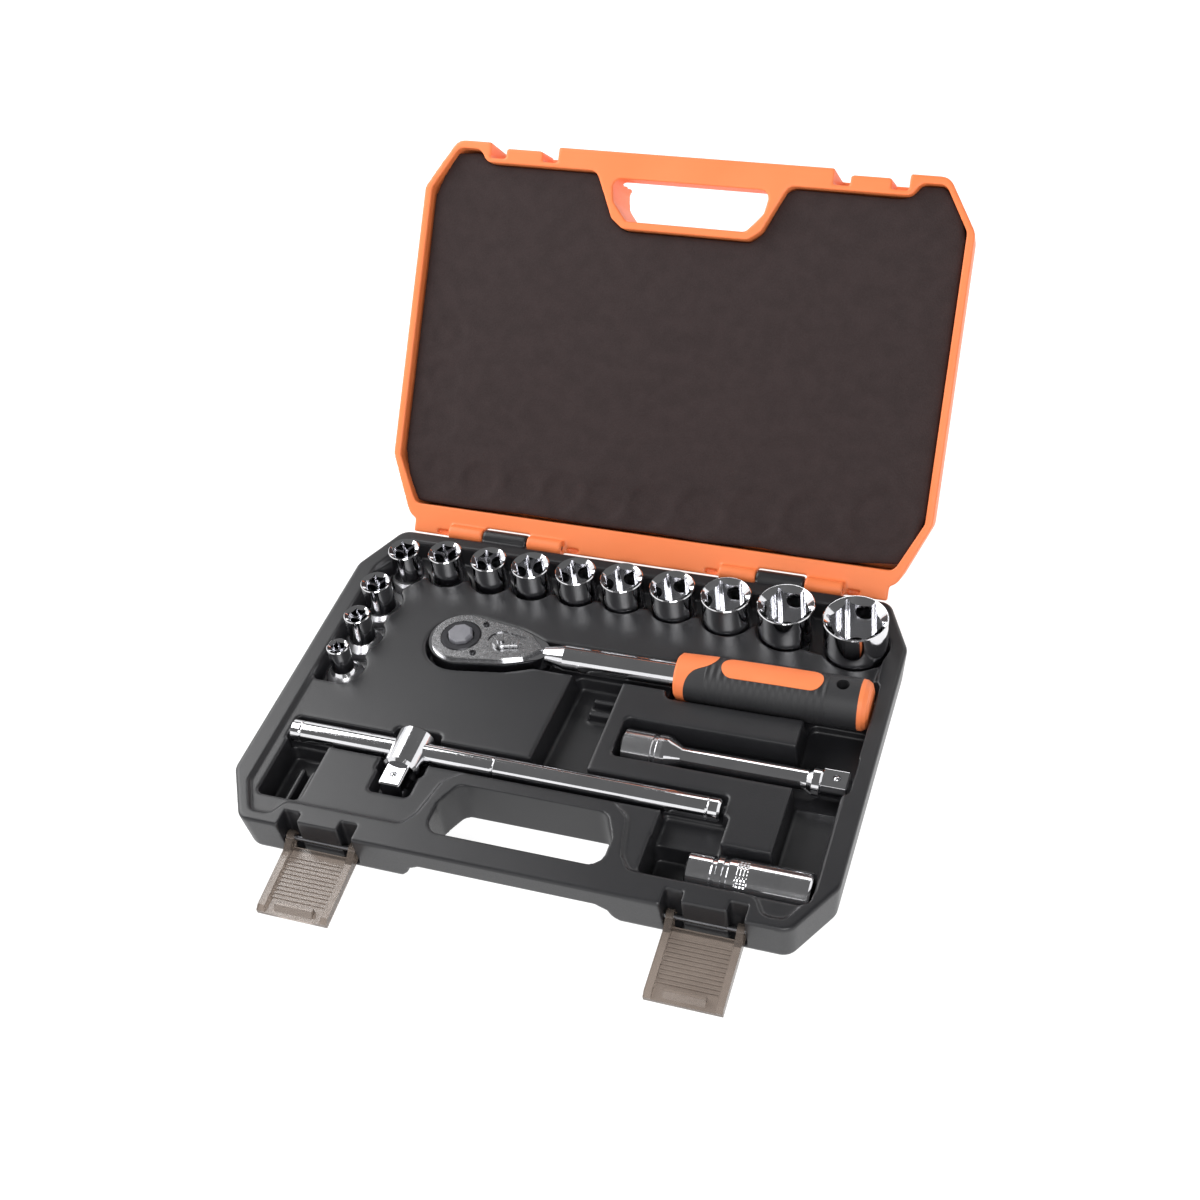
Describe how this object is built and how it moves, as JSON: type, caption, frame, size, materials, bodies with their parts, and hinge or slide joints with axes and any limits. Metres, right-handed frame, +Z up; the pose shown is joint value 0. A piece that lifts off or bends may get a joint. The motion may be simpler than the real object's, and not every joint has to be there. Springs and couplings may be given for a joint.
{
  "type": "socket wrench set in case",
  "caption": "Open hard case with a hinged lid and two clear latches, holding a ratchet with a two-colour grip, a sliding T-handle, an extension, a spark plug socket and a row of hex sockets.",
  "frame": {"origin": "middle of the case's footprint, on the surface it stands on", "axes": "+X to the right along the front edge, +Y towards the hinges, +Z up"},
  "size_m": [0.34, 0.4638, 0.2068],
  "materials": {
    "base_plastic": "black blow-moulded polyethylene, fine grain",
    "lid_plastic": "orange blow-moulded polyethylene, fine grain",
    "foam": "dark grey-brown open-cell foam",
    "latch_plastic": "smoky clear polycarbonate",
    "pin_steel": "plain steel wire",
    "chrome": "mirror chrome plate",
    "chrome_dark": "satin chrome plate",
    "black_steel": "black oxide",
    "ball_steel": "polished bearing steel",
    "button_plastic": "grey moulded plastic",
    "rubber_grip": "black soft grip rubber",
    "orange_grip": "orange soft grip rubber",
    "rubber_insert": "black rubber"
  },
  "bodies": {
    "case_base": {"base_shell": "base_plastic", "hinge_pin_left": "pin_steel", "hinge_pin_right": "pin_steel", "latch_pin_left": "pin_steel", "latch_pin_right": "pin_steel"},
    "lid": {"lid_shell": "lid_plastic", "lid_foam": "foam"},
    "latch_left": {"latch_left": "latch_plastic"},
    "latch_right": {"latch_right": "latch_plastic"},
    "socket_08": {"socket_08": "chrome"},
    "socket_10": {"socket_10": "chrome"},
    "socket_12": {"socket_12": "chrome"},
    "socket_13": {"socket_13": "chrome"},
    "socket_14": {"socket_14": "chrome"},
    "socket_15": {"socket_15": "chrome"},
    "socket_16": {"socket_16": "chrome"},
    "socket_17": {"socket_17": "chrome"},
    "socket_18": {"socket_18": "chrome"},
    "socket_19": {"socket_19": "chrome"},
    "socket_21": {"socket_21": "chrome"},
    "socket_24": {"socket_24": "chrome"},
    "socket_27": {"socket_27": "chrome"},
    "spark_plug_socket": {"spark_plug_socket": "chrome", "spark_plug_insert": "rubber_insert"},
    "ratchet": {"ratchet_body": "chrome", "ratchet_cover": "chrome_dark", "cover_screws": "black_steel", "ratchet_grip": "rubber_grip", "grip_inlay": "orange_grip", "grip_collar": "orange_grip", "grip_end_cap": "orange_grip"},
    "ratchet_drive": {"ratchet_drive": "black_steel", "drive_ball": "ball_steel"},
    "release_button": {"release_button": "button_plastic"},
    "reversing_lever": {"reversing_lever": "chrome_dark", "ratchet_pawl": "black_steel"},
    "t_bar": {"t_bar_rod": "chrome"},
    "t_bar_head": {"t_bar_head": "chrome", "t_bar_ball": "ball_steel"},
    "extension_bar": {"extension_bar": "chrome", "extension_ball": "ball_steel"}
  },
  "joints": [
    {"name": "lid_hinge", "type": "hinge", "parent": "case_base", "child": "lid", "pos_m": [0, 0.1231, 0.0264], "axis": [-1, 0, 0], "range_deg": [-131.05, 0], "deforming": ["lid_foam"]},
    {"name": "latch_left_swing", "type": "hinge", "parent": "case_base", "child": "latch_left", "pos_m": [-0.107, -0.112, 0.012], "axis": [1, 0, 0], "range_deg": [-96, 0]},
    {"name": "latch_right_swing", "type": "hinge", "parent": "case_base", "child": "latch_right", "pos_m": [0.107, -0.112, 0.012], "axis": [1, 0, 0], "range_deg": [-96, 0]},
    {"name": "socket_08_lift", "type": "slide", "parent": "case_base", "child": "socket_08", "axis": [0, 0, 1], "range_m": [0, 0.05]},
    {"name": "socket_10_lift", "type": "slide", "parent": "case_base", "child": "socket_10", "axis": [0, 0, 1], "range_m": [0, 0.05]},
    {"name": "socket_12_lift", "type": "slide", "parent": "case_base", "child": "socket_12", "axis": [0, 0, 1], "range_m": [0, 0.05]},
    {"name": "socket_13_lift", "type": "slide", "parent": "case_base", "child": "socket_13", "axis": [0, 0, 1], "range_m": [0, 0.05]},
    {"name": "socket_14_lift", "type": "slide", "parent": "case_base", "child": "socket_14", "axis": [0, 0, 1], "range_m": [0, 0.05]},
    {"name": "socket_15_lift", "type": "slide", "parent": "case_base", "child": "socket_15", "axis": [0, 0, 1], "range_m": [0, 0.05]},
    {"name": "socket_16_lift", "type": "slide", "parent": "case_base", "child": "socket_16", "axis": [0, 0, 1], "range_m": [0, 0.05]},
    {"name": "socket_17_lift", "type": "slide", "parent": "case_base", "child": "socket_17", "axis": [0, 0, 1], "range_m": [0, 0.05]},
    {"name": "socket_18_lift", "type": "slide", "parent": "case_base", "child": "socket_18", "axis": [0, 0, 1], "range_m": [0, 0.05]},
    {"name": "socket_19_lift", "type": "slide", "parent": "case_base", "child": "socket_19", "axis": [0, 0, 1], "range_m": [0, 0.05]},
    {"name": "socket_21_lift", "type": "slide", "parent": "case_base", "child": "socket_21", "axis": [0, 0, 1], "range_m": [0, 0.05]},
    {"name": "socket_24_lift", "type": "slide", "parent": "case_base", "child": "socket_24", "axis": [0, 0, 1], "range_m": [0, 0.05]},
    {"name": "socket_27_lift", "type": "slide", "parent": "case_base", "child": "socket_27", "axis": [0, 0, 1], "range_m": [0, 0.05]},
    {"name": "spark_plug_socket_lift", "type": "slide", "parent": "case_base", "child": "spark_plug_socket", "axis": [0, 0, 1], "range_m": [0, 0.05]},
    {"name": "ratchet_lift", "type": "slide", "parent": "case_base", "child": "ratchet", "axis": [0, 0, 1], "range_m": [0, 0.07]},
    {"name": "ratchet_drive_spin", "type": "hinge", "parent": "ratchet", "child": "ratchet_drive", "pos_m": [-0.081, 0.034, 0.02], "axis": [0, 0, 1], "continuous": true},
    {"name": "release_button_press", "type": "slide", "parent": "ratchet_drive", "child": "release_button", "axis": [0, 0, -1], "range_m": [0, 0.002], "stiffness_N_per_m": 300},
    {"name": "reversing_lever_turn", "type": "hinge", "parent": "ratchet", "child": "reversing_lever", "pos_m": [-0.056, 0.03431, 0.032], "axis": [0, 0, 1], "range_deg": [-7, 7]},
    {"name": "t_bar_lift", "type": "slide", "parent": "case_base", "child": "t_bar", "axis": [0, 0, 1], "range_m": [0, 0.06]},
    {"name": "t_bar_head_slide", "type": "slide", "parent": "t_bar", "child": "t_bar_head", "axis": [1, 0, 0], "range_m": [-0.002, 0.002]},
    {"name": "extension_bar_lift", "type": "slide", "parent": "case_base", "child": "extension_bar", "axis": [0, 0, 1], "range_m": [0, 0.05]}
  ]
}
